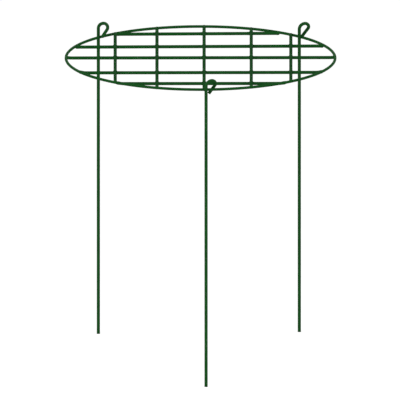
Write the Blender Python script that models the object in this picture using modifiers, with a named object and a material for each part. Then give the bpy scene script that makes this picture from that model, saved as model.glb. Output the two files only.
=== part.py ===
# Grid plant support: a welded wire grid in a round rim, carried by three wire legs that hook over the rim.
# Metres, +Z up. The origin is on the ground under the middle of the grid, and -Y is the front.
import math

import bpy
from mathutils import Matrix, Vector

MM = 0.001

# Rim and grid
RIM_DIAMETER = 450 * MM  # over the outside of the rim
RIM_WIRE = 4.7 * MM
GRID_WIRE = 5.5 * MM
GRID_HEIGHT = 504 * MM  # from the ground to the middle of the rim's wire
# Left-right wires, the lower layer: how far back each one lies, and how far it was welded off square.
LONG_WIRES = (
    (-173.7 * MM, math.radians(0.3)),
    (-96.6 * MM, math.radians(0.5)),
    (8.2 * MM, math.radians(0.4)),
    (87.2 * MM, math.radians(1.1)),
    (177.5 * MM, math.radians(1.4)),
)
# Front-back wires, the upper layer: how far to the right each one lies.
CROSS_WIRE_X = (-141.2 * MM, -72.1 * MM, 5.9 * MM, 83.9 * MM, 149.4 * MM)
WELD_SET_DOWN = 2.5 * MM  # how far two wires are pressed into each other where they cross
FIT_GAP = 0.3 * MM  # left between pieces that are welded together

# Legs, with the hook that all three share
LEG_WIRE = 5.5 * MM
HOOK_BEND_RADIUS = 9.2 * MM  # from the stem to the top of the loop, at the middle of the wire
HOOK_NOSE_RADIUS = 6.2 * MM  # from the top of the loop to the tail
HOOK_TAIL_ANGLE = math.radians(35)  # between the tail and the upright stem
HOOK_PLAY = 0.35 * MM  # free space on each side of the rim, between the stem and the tail
END_ROUNDING = 0.5 * MM  # on the cut ends of the wire
LEAN_START = 25 * MM  # below the rim, where a leg starts to lean
LEAN_END = 8 * MM  # above the ground, where it stands upright again, so that its foot is level

# Each leg's place round the rim, the height of its loop over the rim, how far its tail passes the rim,
# the side of the rim that its stem stands on, the way that its loop opens, seen from above, and how far
# its foot stands behind its hook.
OUTSIDE = 1
INSIDE = -1
LEGS = {
    "leg_front": {
        "place": math.radians(272.3),
        "loop_height": 15.5 * MM,
        "tail_reach": 8 * MM,
        "stem_side": OUTSIDE,
        "opening": math.radians(0),
        "foot_shift": -1.65 * MM,
    },
    "leg_back_left": {
        "place": math.radians(137.83),
        "loop_height": 22.8 * MM,
        "tail_reach": -1 * MM,
        "stem_side": OUTSIDE,
        "opening": math.radians(0),
        "foot_shift": -7.95 * MM,
    },
    "leg_back_right": {
        "place": math.radians(41.2),
        "loop_height": 23.7 * MM,
        "tail_reach": 0 * MM,
        "stem_side": INSIDE,
        "opening": math.radians(0),
        "foot_shift": 15.3 * MM,
    },
}

# Smoothness of the curved faces
RIM_STEPS = 96
WIRE_SIDES = 16
BEND_STEPS = 20
TAIL_STEPS = 8
SHARP_ANGLE = math.radians(40)

# Dark green plastic coating, as linear colour
COATING_COLOUR = (0.006, 0.066, 0.010, 1.0)
COATING_ROUGHNESS = 0.7

# Sizes that follow from the ones above
rim_radius = (RIM_DIAMETER - RIM_WIRE) / 2
layer_height = (GRID_WIRE - WELD_SET_DOWN) / 2
rim_to_leg = (RIM_WIRE + LEG_WIRE) / 2 + HOOK_PLAY


def clear_scene():
    for old in list(bpy.data.objects):
        bpy.data.objects.remove(old, do_unlink=True)


def new_collection(name):
    collection = bpy.data.collections.new(name)
    bpy.context.scene.collection.children.link(collection)
    return collection


def move_to(item, collection):
    for holder in list(item.users_collection):
        holder.objects.unlink(item)
    collection.objects.link(item)


def coating(name):
    material = bpy.data.materials.new(name + "_coating")
    material.use_nodes = True
    shader = material.node_tree.nodes["Principled BSDF"]
    shader.inputs["Base Color"].default_value = COATING_COLOUR
    shader.inputs["Roughness"].default_value = COATING_ROUGHNESS
    shader.inputs["Metallic"].default_value = 0.0
    material.diffuse_color = COATING_COLOUR
    return material


def finish_piece(piece, name, collection):
    piece.name = name
    piece.data.name = name
    piece.data.materials.append(coating(name))
    move_to(piece, collection)


def as_cutter(item, name, collection):
    item.name = name
    item.data.name = name
    item.display_type = "WIRE"
    item.hide_render = True
    move_to(item, collection)
    return item


def shade_round(mesh):
    mesh.shade_smooth()
    mesh.set_sharp_from_angle(angle=SHARP_ANGLE)


def rod(radius, length, location, direction):
    # A straight round rod. The small turn puts a flat side, not an edge, at the top and bottom.
    bpy.ops.mesh.primitive_cylinder_add(vertices=WIRE_SIDES, radius=radius, depth=length)
    straight = bpy.context.object
    straight.data.transform(Matrix.Rotation(math.pi / WIRE_SIDES, 4, "Z"))
    straight.location = location
    straight.rotation_euler = Vector(direction).to_track_quat("Z", "Y").to_euler()
    return straight


def long_wire_rod(y, turn, radius):
    place = (0, y, GRID_HEIGHT - layer_height)
    return rod(radius, RIM_DIAMETER, place, (math.cos(turn), math.sin(turn), 0))


def cross_wire_rod(x, radius):
    return rod(radius, RIM_DIAMETER, (x, 0, GRID_HEIGHT + layer_height), (0, 1, 0))


def fits_in_rim(place):
    return abs(place) < rim_radius - RIM_WIRE - GRID_WIRE


def make_cutters(collection, saddles):
    # The wires butt against the inner side of the rim.
    bpy.ops.mesh.primitive_cylinder_add(
        vertices=RIM_STEPS,
        radius=rim_radius - RIM_WIRE / 2 - FIT_GAP,
        depth=4 * GRID_WIRE,
        location=(0, 0, GRID_HEIGHT),
    )
    trim = as_cutter(bpy.context.object, "wire_end_trim", collection)
    # Each cross wire beds into a saddle in the long wires below it.
    for number, x in enumerate(CROSS_WIRE_X, start=1):
        if fits_in_rim(x):
            bed = cross_wire_rod(x, GRID_WIRE / 2 + FIT_GAP)
            as_cutter(bed, f"saddle_{number}", saddles)
    return trim


def add_boolean(piece, name, operation, cutter=None, group=None):
    cut = piece.modifiers.new(name, "BOOLEAN")
    cut.operation = operation
    cut.solver = "EXACT"
    if group:
        cut.operand_type = "COLLECTION"
        cut.collection = group
    else:
        cut.object = cutter


def make_rim(collection):
    bpy.ops.mesh.primitive_torus_add(
        major_radius=rim_radius,
        minor_radius=RIM_WIRE / 2,
        major_segments=RIM_STEPS,
        minor_segments=WIRE_SIDES,
        location=(0, 0, GRID_HEIGHT),
    )
    rim = bpy.context.object
    rim.data.shade_smooth()
    finish_piece(rim, "rim", collection)


def make_grid(collection, trim, saddles):
    for number, (y, turn) in enumerate(LONG_WIRES, start=1):
        if fits_in_rim(y):
            wire = long_wire_rod(y, turn, GRID_WIRE / 2)
            add_boolean(wire, "end at the rim", "INTERSECT", cutter=trim)
            add_boolean(wire, "saddles", "DIFFERENCE", group=saddles)
            shade_round(wire.data)
            finish_piece(wire, f"long_wire_{number}", collection)
    for number, x in enumerate(CROSS_WIRE_X, start=1):
        if fits_in_rim(x):
            wire = cross_wire_rod(x, GRID_WIRE / 2)
            add_boolean(wire, "end at the rim", "INTERSECT", cutter=trim)
            shade_round(wire.data)
            finish_piece(wire, f"cross_wire_{number}", collection)


def smooth_step(share):
    return share * share * (3 - 2 * share)


def hook_profile(loop_height, tail_reach):
    # The leg's centre line seen flat on, from the foot to the tail's end, as (sideways, up, crossing, lean).
    # Up is measured from the rim. Crossing goes from 0 on the stem to 1 where the tail is level with the rim.
    # Lean is 1 at the foot.
    points = [
        (0, -GRID_HEIGHT, 0, 1),
        (0, LEAN_END - GRID_HEIGHT, 0, 1),
        (0, -LEAN_START, 0, 0),
    ]
    nose_turn = math.pi / 2 + HOOK_TAIL_ANGLE
    whole_turn = math.pi / 2 + nose_turn
    tail_height = loop_height - HOOK_NOSE_RADIUS * (1 - math.cos(nose_turn))
    shoulder_length = HOOK_BEND_RADIUS * math.pi / 2
    bend_length = shoulder_length + HOOK_NOSE_RADIUS * nose_turn
    crossing_length = bend_length + tail_height / math.cos(HOOK_TAIL_ANGLE)
    for step in range(BEND_STEPS + 1):
        turned = whole_turn * step / BEND_STEPS
        if turned < math.pi / 2:
            sideways = HOOK_BEND_RADIUS * (1 - math.cos(turned))
            up = loop_height - HOOK_BEND_RADIUS * (1 - math.sin(turned))
            passed = HOOK_BEND_RADIUS * turned
        else:
            over = turned - math.pi / 2
            sideways = HOOK_BEND_RADIUS + HOOK_NOSE_RADIUS * math.sin(over)
            up = loop_height - HOOK_NOSE_RADIUS * (1 - math.cos(over))
            passed = shoulder_length + HOOK_NOSE_RADIUS * over
        points.append((sideways, up, smooth_step(passed / crossing_length), 0))
    tail_top = points[-1][0]
    slope = math.tan(HOOK_TAIL_ANGLE)
    for step in range(1, TAIL_STEPS + 1):
        down = (tail_height + tail_reach) * step / TAIL_STEPS
        passed = bend_length + down / math.cos(HOOK_TAIL_ANGLE)
        crossing = smooth_step(min(passed / crossing_length, 1))
        points.append((tail_top - down * slope, tail_height - down, crossing, 0))
    at_rim = tail_top - tail_height * slope
    return points, at_rim


def crossing_depth(stem, at_rim, stem_side, opening):
    # How far the wire moves across the rim, square to the loop, so that the tail clears the rim's far side
    # by the same play as the stem. The tail passes the rim at the distance at_rim from the stem.
    along = Vector((math.cos(opening), math.sin(opening)))
    across = Vector((-along.y, along.x))
    start = stem + at_rim * along
    far_side = rim_radius - stem_side * rim_to_leg
    half = start.dot(across)
    root = math.sqrt(half * half - start.length_squared + far_side * far_side)
    return min(-half + root, -half - root, key=abs)


def make_leg(name, place, loop_height, tail_reach, stem_side, opening, foot_shift, collection):
    outward = Vector((math.cos(place), math.sin(place)))
    pivot = rim_radius * outward
    stem = (rim_radius + stem_side * rim_to_leg) * outward
    profile, at_rim = hook_profile(loop_height, tail_reach)
    depth = crossing_depth(stem, at_rim, stem_side, opening)

    # The leg's origin is in the middle of the rim's wire, on the line that the leg swings about.
    into_loop = Matrix.Rotation(-opening, 2)
    stem_offset = into_loop @ (stem - pivot)
    foot_offset = into_loop @ Vector((0, foot_shift))
    curve = bpy.data.curves.new(name, "CURVE")
    curve.dimensions = "3D"
    curve.bevel_depth = LEG_WIRE / 2
    curve.bevel_resolution = WIRE_SIDES // 2 - 2
    curve.use_fill_caps = True
    line = curve.splines.new("POLY")
    line.points.add(len(profile) - 1)
    for point, (sideways, up, crossing, lean) in zip(line.points, profile):
        x = stem_offset.x + sideways + lean * foot_offset.x
        y = stem_offset.y + crossing * depth + lean * foot_offset.y
        point.co = (x, y, up, 1)
    line.use_smooth = True
    leg = bpy.data.objects.new(name, curve)
    leg.location = (pivot.x, pivot.y, GRID_HEIGHT)
    leg.rotation_euler.z = opening
    bpy.context.scene.collection.objects.link(leg)

    seal = leg.modifiers.new("seal the caps", "WELD")
    seal.merge_threshold = 0.01 * MM
    edge = leg.modifiers.new("rounded cut ends", "BEVEL")
    edge.width = END_ROUNDING
    edge.segments = 2
    edge.limit_method = "ANGLE"
    edge.angle_limit = SHARP_ANGLE
    finish_piece(leg, name, collection)


def main():
    clear_scene()
    support = new_collection("grid_plant_support")
    cutters = new_collection("cutters")
    saddles = bpy.data.collections.new("saddles")
    cutters.children.link(saddles)
    trim = make_cutters(cutters, saddles)
    make_rim(support)
    make_grid(support, trim, saddles)
    for name, leg in LEGS.items():
        make_leg(name, collection=support, **leg)


main()
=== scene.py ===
import math

import bmesh
import bpy
from mathutils import Matrix, Vector, noise


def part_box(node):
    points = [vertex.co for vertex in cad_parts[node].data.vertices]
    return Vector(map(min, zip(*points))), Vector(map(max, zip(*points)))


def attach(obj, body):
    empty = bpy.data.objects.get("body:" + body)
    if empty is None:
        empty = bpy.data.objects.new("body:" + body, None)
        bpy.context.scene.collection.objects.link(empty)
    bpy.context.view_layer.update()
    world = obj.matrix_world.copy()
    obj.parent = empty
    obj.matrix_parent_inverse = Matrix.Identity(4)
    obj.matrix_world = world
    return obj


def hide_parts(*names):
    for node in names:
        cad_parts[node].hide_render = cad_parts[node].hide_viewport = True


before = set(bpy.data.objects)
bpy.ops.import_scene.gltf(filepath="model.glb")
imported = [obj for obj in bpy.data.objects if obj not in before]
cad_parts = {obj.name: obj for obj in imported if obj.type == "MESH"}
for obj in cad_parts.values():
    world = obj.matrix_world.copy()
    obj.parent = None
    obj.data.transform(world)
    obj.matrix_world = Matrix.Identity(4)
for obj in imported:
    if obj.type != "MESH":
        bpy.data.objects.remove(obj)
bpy.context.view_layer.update()  # metres, +Z up, the front leg towards -Y
mm = 0.001
mergeDistance = 0.001 * mm
scene = bpy.context.scene
gridBody = "grid"  # the rim and the ten wires welded to it
print("frame loaded:", len(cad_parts), "wires")


# small helpers

def show(thing):
    scene.collection.objects.link(thing)
    return thing


def addNode(tree, kind, **values):
    node = tree.nodes.new(kind)
    for key, value in values.items():
        setattr(node, key, value)
    return node


def turnedTo(direction):
    return Vector(direction).to_track_quat("Z", "Y").to_matrix().to_4x4()


def smoothStep(share):
    return share * share * (3 - 2 * share)


def addBar(bm, radius, start, end, sides, rings):
    # a round bar between two points, closed at both ends, with rings along it that can be moved later
    start, end = Vector(start), Vector(end)
    axis = end - start
    before = set(bm.verts)
    placed = Matrix.Translation(start) @ turnedTo(axis)
    loop = bmesh.ops.create_circle(bm, segments=sides, radius=radius, matrix=placed)["verts"]
    edges = list({edge for v in loop for edge in v.link_edges})
    bmesh.ops.spin(bm, geom=loop + edges, cent=start, axis=axis, dvec=axis / rings, angle=0, steps=rings)
    verts = [v for v in bm.verts if v not in before]
    openEdges = [e for e in {edge for v in verts for edge in v.link_edges} if len(e.link_faces) < 2]
    bmesh.ops.holes_fill(bm, edges=openEdges, sides=sides)
    return verts


def ripple(bm, depth, length, seed):
    # a dipped coat is never quite even: the skin sinks a little here and there, and never stands out
    bm.normal_update()
    for v in bm.verts:
        v.co -= v.normal * depth * (0.5 + 0.5 * noise.noise(v.co / length + Vector((seed, 0, 0))))


def finishPiece(name, bm, materials, body, replaced=None, marks=None):
    bmesh.ops.remove_doubles(bm, verts=bm.verts[:], dist=mergeDistance)
    bmesh.ops.recalc_face_normals(bm, faces=bm.faces[:])
    for face in bm.faces:
        face.smooth = True
    mesh = bpy.data.meshes.new(name)
    bm.to_mesh(mesh)
    bm.free()
    if marks:  # an attribute, and how much of it a place has
        key, amountAt = marks
        layer = mesh.attributes.new(key, "FLOAT", "POINT")
        layer.data.foreach_set("value", [amountAt(v.co) for v in mesh.vertices])
    for material in materials:
        mesh.materials.append(material)
    piece = show(bpy.data.objects.new(name, mesh))
    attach(piece, body)
    if replaced:
        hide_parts(replaced)
    return piece


# finishes

coatPattern = {
    "cloudDetail": 3, "cloudFrom": 0.35, "cloudTo": 0.65,  # the part of the noise that turns deep tone into tone
    "peelDetail": 2, "peelFineness": 0.35, "peelFrom": 0.3, "peelTo": 0.7, "peelStrength": 0.6,
}


def makeCoatSkin(pattern):
    # clouding in the green, orange peel in the surface, and a gloss that follows the peel
    group = bpy.data.node_groups.new("coatSkin", "ShaderNodeTree")
    for name in ("Tone", "Deep Tone", "Mark Tone", "Mark", "Cloud Scale", "Peel Scale", "Peel Depth", "Smooth",
                 "Rough", "Mark Rough"):
        kind = "NodeSocketColor" if name.endswith("Tone") else "NodeSocketFloat"
        group.interface.new_socket(name=name, in_out="INPUT", socket_type=kind)
    group.interface.new_socket(name="Colour", in_out="OUTPUT", socket_type="NodeSocketColor")
    group.interface.new_socket(name="Roughness", in_out="OUTPUT", socket_type="NodeSocketFloat")
    group.interface.new_socket(name="Normal", in_out="OUTPUT", socket_type="NodeSocketVector")
    start = addNode(group, "NodeGroupInput").outputs
    end = addNode(group, "NodeGroupOutput").inputs
    place = addNode(group, "ShaderNodeTexCoord").outputs["Object"]
    link = group.links.new

    cloud = addNode(group, "ShaderNodeTexNoise")
    cloud.inputs["Detail"].default_value = pattern["cloudDetail"]
    link(place, cloud.inputs["Vector"])
    link(start["Cloud Scale"], cloud.inputs["Scale"])
    spread = addNode(group, "ShaderNodeMapRange")
    spread.inputs["From Min"].default_value = pattern["cloudFrom"]
    spread.inputs["From Max"].default_value = pattern["cloudTo"]
    link(cloud.outputs["Fac"], spread.inputs["Value"])
    green = addNode(group, "ShaderNodeMix", data_type="RGBA")
    link(spread.outputs["Result"], green.inputs["Factor"])
    link(start["Deep Tone"], green.inputs["A"])
    link(start["Tone"], green.inputs["B"])
    marked = addNode(group, "ShaderNodeMix", data_type="RGBA")
    link(start["Mark"], marked.inputs["Factor"])
    link(green.outputs["Result"], marked.inputs["A"])
    link(start["Mark Tone"], marked.inputs["B"])
    link(marked.outputs["Result"], end["Colour"])

    peel = addNode(group, "ShaderNodeTexNoise")
    peel.inputs["Detail"].default_value = pattern["peelDetail"]
    peel.inputs["Roughness"].default_value = pattern["peelFineness"]
    link(place, peel.inputs["Vector"])
    link(start["Peel Scale"], peel.inputs["Scale"])
    gloss = addNode(group, "ShaderNodeMapRange")
    gloss.inputs["From Min"].default_value = pattern["peelFrom"]
    gloss.inputs["From Max"].default_value = pattern["peelTo"]
    link(peel.outputs["Fac"], gloss.inputs["Value"])
    link(start["Smooth"], gloss.inputs["To Min"])
    link(start["Rough"], gloss.inputs["To Max"])
    dulled = addNode(group, "ShaderNodeMix", data_type="FLOAT")
    link(start["Mark"], dulled.inputs["Factor"])
    link(gloss.outputs["Result"], dulled.inputs["A"])
    link(start["Mark Rough"], dulled.inputs["B"])
    link(dulled.outputs["Result"], end["Roughness"])
    bump = addNode(group, "ShaderNodeBump")
    bump.inputs["Strength"].default_value = pattern["peelStrength"]
    link(start["Peel Depth"], bump.inputs["Distance"])
    link(peel.outputs["Fac"], bump.inputs["Height"])
    link(bump.outputs["Normal"], end["Normal"])
    return group


coatSkin = makeCoatSkin(coatPattern)


def makeCoat(name, look, markFrom):
    # markFrom is the attribute that says where the coat is pooled, or greyer and duller near a cut end
    material = bpy.data.materials.new(name)
    material.use_nodes = True
    tree = material.node_tree
    shader = tree.nodes["Principled BSDF"]
    skin = addNode(tree, "ShaderNodeGroup", node_tree=coatSkin)
    for socket, key in (("Tone", "tone"), ("Deep Tone", "deepTone"), ("Mark Tone", "markTone")):
        skin.inputs[socket].default_value = (*look[key], 1)
    skin.inputs["Cloud Scale"].default_value = 1 / look["cloudSize"]
    skin.inputs["Peel Scale"].default_value = 1 / look["peelSize"]
    skin.inputs["Peel Depth"].default_value = look["peelDepth"]
    skin.inputs["Smooth"].default_value = look["smooth"]
    skin.inputs["Rough"].default_value = look["rough"]
    skin.inputs["Mark Rough"].default_value = look["markRough"]
    mark = addNode(tree, "ShaderNodeAttribute", attribute_name=markFrom)
    tree.links.new(mark.outputs["Fac"], skin.inputs["Mark"])
    tree.links.new(skin.outputs["Colour"], shader.inputs["Base Color"])
    tree.links.new(skin.outputs["Roughness"], shader.inputs["Roughness"])
    tree.links.new(skin.outputs["Normal"], shader.inputs["Normal"])
    shader.inputs["Specular IOR Level"].default_value = look["shine"]
    return material


def makeCutSteel(name, look):
    # the end of the wire where it was sheared: a thin, dull skin over the steel, with the shear's drag lines
    material = bpy.data.materials.new(name)
    material.use_nodes = True
    tree = material.node_tree
    shader = tree.nodes["Principled BSDF"]
    place = addNode(tree, "ShaderNodeTexCoord")
    drag = addNode(tree, "ShaderNodeTexWave", wave_type="BANDS", bands_direction="DIAGONAL")
    drag.inputs["Scale"].default_value = 1 / look["dragSize"]
    drag.inputs["Distortion"].default_value = look["dragTwist"]
    drag.inputs["Detail"].default_value = look["dragDetail"]
    tone = addNode(tree, "ShaderNodeMix", data_type="RGBA")
    tone.inputs["A"].default_value = (*look["dark"], 1)
    tone.inputs["B"].default_value = (*look["pale"], 1)
    bump = addNode(tree, "ShaderNodeBump")
    bump.inputs["Distance"].default_value = look["dragDepth"]
    tree.links.new(place.outputs["Object"], drag.inputs["Vector"])
    tree.links.new(drag.outputs["Fac"], tone.inputs["Factor"])
    tree.links.new(drag.outputs["Fac"], bump.inputs["Height"])
    tree.links.new(tone.outputs["Result"], shader.inputs["Base Color"])
    tree.links.new(bump.outputs["Normal"], shader.inputs["Normal"])
    shader.inputs["Metallic"].default_value = look["metal"]
    shader.inputs["Roughness"].default_value = look["rough"]
    return material


gridLook = {
    "tone": (0.0053, 0.070, 0.0094), "deepTone": (0.0040, 0.052, 0.0074), "cloudSize": 14 * mm,
    "peelSize": 1.1 * mm, "peelDepth": 0.11 * mm, "smooth": 0.62, "rough": 0.84, "shine": 0.07,
    "markTone": (0.0050, 0.086, 0.0085), "markRough": 0.70,  # where the coat has pooled
}
# a darker copy of the grid's coat for the front-back wires: painted shade, because these wires turn their tops to
# the lamps and would otherwise look lighter than the left-right wires
crossPaintedShadeLook = {**gridLook, "tone": (0.0050, 0.055, 0.0088), "deepTone": (0.0040, 0.042, 0.0070), "shine": 0.015}
legLook = {
    "tone": (0.0054, 0.070, 0.0090), "deepTone": (0.0042, 0.054, 0.0072), "cloudSize": 20 * mm,
    "peelSize": 0.9 * mm, "peelDepth": 0.08 * mm, "smooth": 0.55, "rough": 0.76, "shine": 0.11,
    "markTone": (0.030, 0.046, 0.034), "markRough": 0.9,  # greyer and duller within a few millimetres of each cut end
}
cutLook = {"dark": (0.020, 0.026, 0.022), "pale": (0.055, 0.062, 0.056), "metal": 0.6, "rough": 0.5,
           "dragSize": 0.9 * mm, "dragDepth": 0.02 * mm, "dragTwist": 5, "dragDetail": 3}
gridCoat = makeCoat("gridCoat", gridLook, "pooled")
crossPaintedShadeCoat = makeCoat("crossPaintedShadeCoat", crossPaintedShadeLook, "pooled")
legCoat = makeCoat("legCoat", legLook, "greyedNearEnd")
cutSteel = makeCutSteel("cutSteel", cutLook)
print("finishes made")


# rim

rimSizes = {
    "steps": 420, "sides": 32, "rippleDepth": 0.035 * mm, "rippleLength": 7 * mm, "seed": 3,
    "seamAngle": math.radians(100), "seamSwell": 0.2 * mm, "seamLength": 1.5 * mm,  # the butt weld at the back
}
rimLow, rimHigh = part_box("rim")
rimWire = (rimHigh.z - rimLow.z) / 2
rimLevel = (rimHigh.z + rimLow.z) / 2
rimRadius = (rimHigh.x - rimLow.x) / 2 - rimWire


def makeRim(sizes):
    bm = bmesh.new()
    upright = Matrix.Translation((rimRadius, 0, rimLevel)) @ Matrix.Rotation(math.pi / 2, 4, "X")
    bmesh.ops.create_circle(bm, segments=sizes["sides"], radius=rimWire, matrix=upright)
    bmesh.ops.spin(bm, geom=bm.verts[:] + bm.edges[:], cent=(0, 0, 0), axis=(0, 0, 1), angle=math.tau,
                   steps=sizes["steps"], use_merge=True)
    bmesh.ops.recalc_face_normals(bm, faces=bm.faces[:])
    ripple(bm, sizes["rippleDepth"], sizes["rippleLength"], sizes["seed"])
    for v in bm.verts:
        along = (math.atan2(v.co.y, v.co.x) - sizes["seamAngle"]) * rimRadius
        v.co += v.normal * sizes["seamSwell"] * math.exp(-(along / sizes["seamLength"]) ** 2)
    finishPiece("rim_wire", bm, [gridCoat], gridBody, "rim")


makeRim(rimSizes)
print("rim made")


# grid wires

wireSizes = {
    "radius": 2.75 * mm, "sides": 28, "ringEvery": 2 * mm, "rippleDepth": 0.035 * mm, "rippleLength": 7 * mm,
    "crossSeed": 10,
    "turns": (0.3, 0.5, 0.4, 1.1, 1.4),  # how far off square the left-right wires were welded, in degrees
    "shortBy": 2.6 * mm,  # of the middle of the rim's wire; the welds carry it on
    # the ends were pressed towards the rim's level by this share, over this length
    "longPress": (0.8, 0.7, 0.3, 0, 0), "longPressLength": 10 * mm,
    "crossPress": 0.9, "crossPressLength": 18 * mm,
}


def layWire(node, direction, pressShare, pressLength):
    # where a wire runs: its middle, how far each way it goes to the middle of the rim's wire, and its press
    low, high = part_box(node)
    middle, along = (low + high) / 2, Vector(direction)
    nearest = middle - along * along.dot(Vector((middle.x, middle.y, 0)))
    half = math.sqrt(rimRadius ** 2 - nearest.x ** 2 - nearest.y ** 2)
    offset = (nearest - middle).dot(along)
    return {"middle": middle, "along": along, "ends": (offset - half, offset + half), "pressShare": pressShare,
            "pressLength": pressLength}


def onWire(wire, distance):
    # the point of a wire's centre line that far along from its middle
    toEnd = min(distance - wire["ends"][0], wire["ends"][1] - distance)
    pressed = wire["pressShare"] * (1 - smoothStep(min(max(toEnd / wire["pressLength"], 0), 1)))
    sunk = Vector((0, 0, pressed * (rimLevel - wire["middle"].z)))
    return wire["middle"] + wire["along"] * distance + sunk


def lineOf(wire):
    return lambda distance: onWire(wire, distance)


def addWireBar(bm, line, start, end, radius, sides, rings, fatter=None):
    # a round bar that follows a line from one distance along it to another
    first, last = line(start), line(end)
    axis = (last - first).normalized()
    for v in addBar(bm, radius, first, last, sides, rings):
        share = (v.co - first).dot(axis) / (last - first).length
        out = v.co - first.lerp(last, share)
        distance = start + (end - start) * share
        v.co = line(distance) + out * (1 + (fatter(distance) / radius if fatter else 0))


def makeWire(name, node, wire, coat, sizes, seed):
    # a piece along a laid wire, which is handed back for the welds
    start, end = wire["ends"][0] + sizes["shortBy"], wire["ends"][1] - sizes["shortBy"]
    bm = bmesh.new()
    addWireBar(bm, lineOf(wire), start, end, sizes["radius"], sizes["sides"],
               round((end - start) / sizes["ringEvery"]))
    bmesh.ops.recalc_face_normals(bm, faces=bm.faces[:])
    ripple(bm, sizes["rippleDepth"], sizes["rippleLength"], seed)
    finishPiece(name, bm, [coat], gridBody, node)
    return wire


def longDirection(turn):
    return (math.cos(math.radians(turn)), math.sin(math.radians(turn)), 0)


longWires, crossWires = [], []
for n, (turn, press) in enumerate(zip(wireSizes["turns"], wireSizes["longPress"]), start=1):
    node = f"long_wire_{n}"
    laid = layWire(node, longDirection(turn), press, wireSizes["longPressLength"])
    longWires.append(makeWire(f"left_right_wire_{n}", node, laid, gridCoat, wireSizes, n))
for n in range(1, 6):
    node = f"cross_wire_{n}"
    laid = layWire(node, (0, 1, 0), wireSizes["crossPress"], wireSizes["crossPressLength"])
    seed = wireSizes["crossSeed"] + n
    # the front-back wires take the darker copy of the coat, which is painted shade
    crossWires.append(makeWire(f"front_back_wire_{n}", node, laid, crossPaintedShadeCoat, wireSizes, seed))
print("grid wires made:", len(longWires + crossWires))


# welds, with the coat pooled in their corners

weldSizes = {
    "reach": 8 * mm, "sides": 24, "rings": 16,  # each arm of a weld
    "swell": 0.3 * mm, "dip": 0.3 * mm,  # fatter than its wire at the weld, and sunk into it at the arm's end
    "voxel": 0.42 * mm, "settle": 9, "settleShare": 0.5, "poolReach": 4.5 * mm,
    "rimInset": 0.3 * mm,  # the weld is on the inner side of the rim
}


def addArm(bm, line, weld, start, end, radius, sizes):
    # a stretch of wire round a weld, fattest at the weld and thinnest at its far ends
    def fatter(distance):
        away = min(abs(distance - weld) / sizes["reach"], 1)
        return sizes["swell"] * (1 - away) ** 3 - sizes["dip"] * away ** 3

    addWireBar(bm, line, start, end, radius, sizes["sides"], sizes["rings"], fatter)


def settle(name, raw, sizes, welds):
    # the arms join into one skin, which then settles in the corners as a wet coat does
    mesh = bpy.data.meshes.new(name)
    raw.to_mesh(mesh)
    raw.free()
    arms = show(bpy.data.objects.new(name + "_arms", mesh))
    skin = arms.modifiers.new("skin", "REMESH")
    skin.mode = "VOXEL"
    skin.voxel_size = sizes["voxel"]
    joined = bpy.data.meshes.new_from_object(arms.evaluated_get(bpy.context.evaluated_depsgraph_get()))
    bpy.data.objects.remove(arms, do_unlink=True)
    bm = bmesh.new()
    bm.from_mesh(joined)
    bpy.data.meshes.remove(joined)
    for _ in range(sizes["settle"]):
        bmesh.ops.smooth_vert(bm, verts=bm.verts[:], factor=sizes["settleShare"], use_axis_x=True, use_axis_y=True,
                              use_axis_z=True)

    def pooled(place):
        nearest = min((place - weld).length for weld in welds)
        return smoothStep(max(0, 1 - nearest / sizes["poolReach"]))

    finishPiece(name, bm, [gridCoat], gridBody, marks=("pooled", pooled))


def onRim(distance):
    # the point of the rim's centre line that far round from the right-hand side
    turned = distance / rimRadius
    away = rimRadius - weldSizes["rimInset"]
    return Vector((away * math.cos(turned), away * math.sin(turned), rimLevel))


def weldCrossings(sizes):
    raw = bmesh.new()
    welds = []
    reach = sizes["reach"]
    for long in longWires:
        for cross in crossWires:
            alongLong = cross["middle"].x / long["along"].x
            alongCross = onWire(long, alongLong).y - cross["middle"].y
            meets = onWire(long, alongLong), onWire(cross, alongCross)
            if math.hypot(meets[0].x, meets[0].y) < rimRadius - rimWire:
                for wire, along in ((long, alongLong), (cross, alongCross)):
                    addArm(raw, lineOf(wire), along, along - reach, along + reach, wireSizes["radius"], sizes)
                welds.append((meets[0] + meets[1]) / 2)
    settle("crossing_welds", raw, sizes, welds)
    return len(welds)


def weldToRim(sizes):
    raw = bmesh.new()
    welds = []
    reach = sizes["reach"]
    for wire in longWires + crossWires:
        for side, end in zip((-1, 1), wire["ends"]):
            tip = onWire(wire, end)
            around = math.atan2(tip.y, tip.x) * rimRadius
            addArm(raw, onRim, around, around - reach, around + reach, rimWire, sizes)
            inner = end - side * rimWire
            addArm(raw, lineOf(wire), inner, end, inner - side * reach, wireSizes["radius"], sizes)
            welds.append((tip + onRim(around)) / 2)
    settle("rim_welds", raw, sizes, welds)
    return len(welds)


print("crossings welded:", weldCrossings(weldSizes))
print("wire ends welded to the rim:", weldToRim(weldSizes))


# legs

hookSizes = {
    "wire": 2.75 * mm, "bendRadius": 9.2 * mm, "noseRadius": 6.2 * mm, "tailAngle": math.radians(35),
    "play": 0.35 * mm,  # between the rim and the stem, and between the rim and the tail
    "leanStart": 25 * mm, "leanEnd": 8 * mm,  # from the rim and from the ground, a leg stands upright
    "sides": 32, "bendStep": 0.8 * mm, "stemStep": 4 * mm,
    "rippleDepth": 0.075 * mm, "rippleLength": 6 * mm, "seed": 20,
    "endRounding": 0.5 * mm, "endSegments": 4, "coreInset": 0.1 * mm, "coreSunk": 0.12 * mm, "greyedNearEndReach": 3 * mm,
}
legs = {
    "leg_front": {"place": math.radians(272.3), "loopHeight": 15.5 * mm, "tailReach": 8 * mm, "stemSide": 1,
                  "opening": 0, "footShift": -1.65 * mm, "body": "front_leg"},
    "leg_back_left": {"place": math.radians(137.83), "loopHeight": 22.8 * mm, "tailReach": -1 * mm, "stemSide": 1,
                      "opening": 0, "footShift": -7.95 * mm, "body": "back_left_leg"},
    "leg_back_right": {"place": math.radians(41.2), "loopHeight": 23.7 * mm, "tailReach": 0, "stemSide": -1,
                       "opening": 0, "footShift": 15.3 * mm, "body": "back_right_leg"},
}


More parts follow.
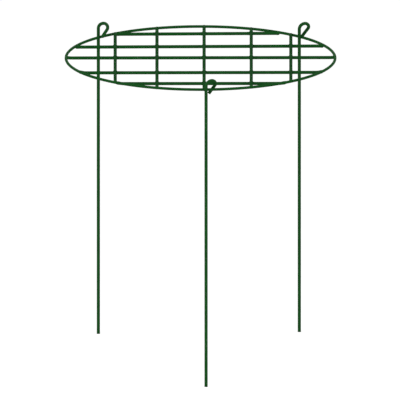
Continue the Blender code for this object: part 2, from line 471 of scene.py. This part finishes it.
def hookLine(leg, sizes):
    # the leg's centre line from foot to tail: sideways, up from the rim, how far it is across the rim, and how
    # much of its foot's shift it has
    bend, nose, angle = sizes["bendRadius"], sizes["noseRadius"], sizes["tailAngle"]
    wholeTurn = math.pi + angle
    tailHeight = leg["loopHeight"] - nose * (1 + math.sin(angle))
    shoulderLength = bend * math.pi / 2
    bendLength = shoulderLength + nose * (math.pi / 2 + angle)
    crossingLength = bendLength + tailHeight / math.cos(angle)
    stemTop = leg["loopHeight"] - bend
    stemSteps = round((rimLevel + stemTop) / sizes["stemStep"])
    leanLength = rimLevel - sizes["leanStart"] - sizes["leanEnd"]
    line = []
    for n in range(stemSteps):
        up = -rimLevel + (rimLevel + stemTop) * n / stemSteps
        line.append((0, up, 0, min(max((-up - sizes["leanStart"]) / leanLength, 0), 1)))
    bendSteps = round(wholeTurn * bend / sizes["bendStep"])
    for n in range(bendSteps + 1):
        turned = wholeTurn * n / bendSteps
        over = turned - math.pi / 2
        if over < 0:
            sideways, up = bend * (1 - math.cos(turned)), stemTop + bend * math.sin(turned)
            passed = bend * turned
        else:
            sideways, up = bend + nose * math.sin(over), leg["loopHeight"] - nose * (1 - math.cos(over))
            passed = shoulderLength + nose * over
        line.append((sideways, up, smoothStep(passed / crossingLength), 0))
    top = line[-1][0]
    drop = tailHeight + leg["tailReach"]
    tailSteps = round(drop / sizes["bendStep"])
    for n in range(1, tailSteps + 1):
        down = drop * n / tailSteps
        crossed = smoothStep(min((bendLength + down / math.cos(angle)) / crossingLength, 1))
        line.append((top - down * math.tan(angle), tailHeight - down, crossed, 0))
    return line, top - tailHeight * math.tan(angle)


def crossingDepth(leg, stem, atRim, toRim):
    # how far the wire steps across the rim, so that the tail clears its far side by the same play as the stem
    along = Vector((math.cos(leg["opening"]), math.sin(leg["opening"])))
    start = stem + atRim * along
    half = start.dot(Vector((-along.y, along.x)))
    root = math.sqrt(half ** 2 - start.length_squared + (rimRadius - leg["stemSide"] * toRim) ** 2)
    return min(-half + root, -half - root, key=abs)


def bendWire(name, points, radius, sides):
    # a round wire along the points, closed at both ends
    curve = bpy.data.curves.new(name, "CURVE")
    curve.dimensions = "3D"
    curve.bevel_depth = radius
    curve.bevel_resolution = sides // 2 - 2
    curve.use_fill_caps = True
    line = curve.splines.new("POLY")
    line.points.add(len(points) - 1)
    for point, place in zip(line.points, points):
        point.co = (*place, 1)
    wire = show(bpy.data.objects.new(name, curve))
    mesh = bpy.data.meshes.new_from_object(wire.evaluated_get(bpy.context.evaluated_depsgraph_get()))
    bpy.data.objects.remove(wire, do_unlink=True)
    bm = bmesh.new()
    bm.from_mesh(mesh)
    bpy.data.meshes.remove(mesh)
    bmesh.ops.remove_doubles(bm, verts=bm.verts[:], dist=mergeDistance)
    bmesh.ops.recalc_face_normals(bm, faces=bm.faces[:])
    return bm


def cutEnds(bm, sizes):
    # the sheared ends: the coat is rounded back, and the core sits a little inside it
    caps = [face for face in bm.faces if len(face.verts) > 4]
    edges = [edge for cap in caps for edge in cap.edges]
    bmesh.ops.bevel(bm, geom=edges, offset=sizes["endRounding"], offset_type="OFFSET",
                    segments=sizes["endSegments"], profile=0.5, affect="EDGES", material=-1)
    for core in [face for face in bm.faces if len(face.verts) > 4]:
        bmesh.ops.inset_region(bm, faces=[core], thickness=sizes["coreInset"], depth=-sizes["coreSunk"])
        core.material_index = 1


def makeLeg(node, leg, sizes):
    toRim = rimWire + sizes["wire"] + sizes["play"]
    stem = (rimRadius + leg["stemSide"] * toRim) * Vector((math.cos(leg["place"]), math.sin(leg["place"])))
    line, atRim = hookLine(leg, sizes)
    depth = crossingDepth(leg, stem, atRim, toRim)
    along = Vector((math.cos(leg["opening"]), math.sin(leg["opening"]), 0))
    across = Vector((-along.y, along.x, 0))
    base = Vector((stem.x, stem.y, rimLevel))
    points = [base + along * sideways + across * depth * crossed + Vector((0, leg["footShift"] * lean, up))
              for sideways, up, crossed, lean in line]
    bm = bendWire(node, points, sizes["wire"], sizes["sides"])
    cutEnds(bm, sizes)
    ripple(bm, sizes["rippleDepth"], sizes["rippleLength"], sizes["seed"])
    ends = (points[0], points[-1])

    # how near a place is to either end of the wire, where the coat turns greyer and duller
    def greyedNearEnd(place):
        nearest = min((place - end).length for end in ends)
        return smoothStep(max(0, 1 - nearest / sizes["greyedNearEndReach"]))

    finishPiece(node + "_wire", bm, [legCoat, cutSteel], leg["body"], node, marks=("greyedNearEnd", greyedNearEnd))


for node, leg in legs.items():
    makeLeg(node, leg, hookSizes)
print("legs made:", len(legs))


# room, light and camera

studio = {"floorSize": 12, "paper": 0.86, "shadowShare": 0.42, "glow": 0.72, "skyStrength": 0.62}
lamps = {
    "key": {"place": (-1.6, -1.8, 2.4), "size": 1.6, "power": 38},
    "fill": {"place": (2.2, -1.2, 1.6), "size": 2.0, "power": 16},
}
view = {"elevation": math.radians(13.56), "width": 661.8 * mm, "away": 3, "aim": (-0.9 * mm, 0, 262.4 * mm)}


def grey(value):
    return (value, value, value, 1)


def makeFloor(look):
    bm = bmesh.new()
    bmesh.ops.create_grid(bm, x_segments=1, y_segments=1, size=look["floorSize"] / 2)
    mesh = bpy.data.meshes.new("floor")
    bm.to_mesh(mesh)
    bm.free()
    paper = bpy.data.materials.new("paper")
    paper.use_nodes = True
    tree = paper.node_tree
    tree.nodes.clear()
    plain = addNode(tree, "ShaderNodeBsdfDiffuse")
    plain.inputs["Color"].default_value = grey(look["paper"])
    shadow = addNode(tree, "ShaderNodeBsdfDiffuse")
    shadow.inputs["Color"].default_value = grey(look["shadowShare"])
    white = addNode(tree, "ShaderNodeEmission")
    white.inputs["Strength"].default_value = look["glow"]
    seen = addNode(tree, "ShaderNodeAddShader")
    ray = addNode(tree, "ShaderNodeLightPath")
    pick = addNode(tree, "ShaderNodeMixShader")
    out = addNode(tree, "ShaderNodeOutputMaterial")
    tree.links.new(shadow.outputs[0], seen.inputs[0])
    tree.links.new(white.outputs[0], seen.inputs[1])
    tree.links.new(ray.outputs["Is Camera Ray"], pick.inputs[0])
    tree.links.new(plain.outputs[0], pick.inputs[1])
    tree.links.new(seen.outputs[0], pick.inputs[2])
    tree.links.new(pick.outputs[0], out.inputs["Surface"])
    mesh.materials.append(paper)
    show(bpy.data.objects.new("floor", mesh))


def makeSky(look):
    world = bpy.data.worlds.new("studio")
    world.use_nodes = True
    scene.world = world
    tree = world.node_tree
    tree.nodes.clear()
    ray = addNode(tree, "ShaderNodeLightPath")
    seen = addNode(tree, "ShaderNodeMath", operation="MAXIMUM")
    mirrored = addNode(tree, "ShaderNodeMath", operation="MAXIMUM")
    soft = addNode(tree, "ShaderNodeBackground")
    soft.inputs["Color"].default_value = grey(1)
    soft.inputs["Strength"].default_value = look["skyStrength"]
    white = addNode(tree, "ShaderNodeBackground")
    white.inputs["Color"].default_value = grey(1)
    pick = addNode(tree, "ShaderNodeMixShader")
    out = addNode(tree, "ShaderNodeOutputWorld")
    tree.links.new(ray.outputs["Is Camera Ray"], seen.inputs[0])
    tree.links.new(ray.outputs["Is Glossy Ray"], seen.inputs[1])
    tree.links.new(seen.outputs[0], mirrored.inputs[0])
    tree.links.new(ray.outputs["Is Transmission Ray"], mirrored.inputs[1])
    tree.links.new(mirrored.outputs[0], pick.inputs[0])
    tree.links.new(soft.outputs[0], pick.inputs[1])
    tree.links.new(white.outputs[0], pick.inputs[2])
    tree.links.new(pick.outputs[0], out.inputs["Surface"])


def makeLamp(name, look):
    light = bpy.data.lights.new(name, "AREA")
    light.shape = "DISK"
    light.size = look["size"]
    light.energy = look["power"]
    lamp = show(bpy.data.objects.new(name, light))
    lamp.location = look["place"]
    towards = Vector(view["aim"]) - lamp.location
    lamp.rotation_euler = towards.to_track_quat("-Z", "Y").to_euler()


def makeCamera(look):
    lens = bpy.data.cameras.new("camera")
    lens.type = "ORTHO"  # upright wires stay upright in the picture, and near ones are no wider than far ones
    lens.ortho_scale = look["width"]
    camera = show(bpy.data.objects.new("camera", lens))
    back = Vector((0, -math.cos(look["elevation"]), math.sin(look["elevation"])))
    camera.location = Vector(look["aim"]) + back * look["away"]
    camera.rotation_euler = (-back).to_track_quat("-Z", "Y").to_euler()
    scene.camera = camera


makeFloor(studio)
makeSky(studio)
for name, look in lamps.items():
    makeLamp(name, look)
makeCamera(view)
scene.view_settings.view_transform = "Standard"
print("studio made")
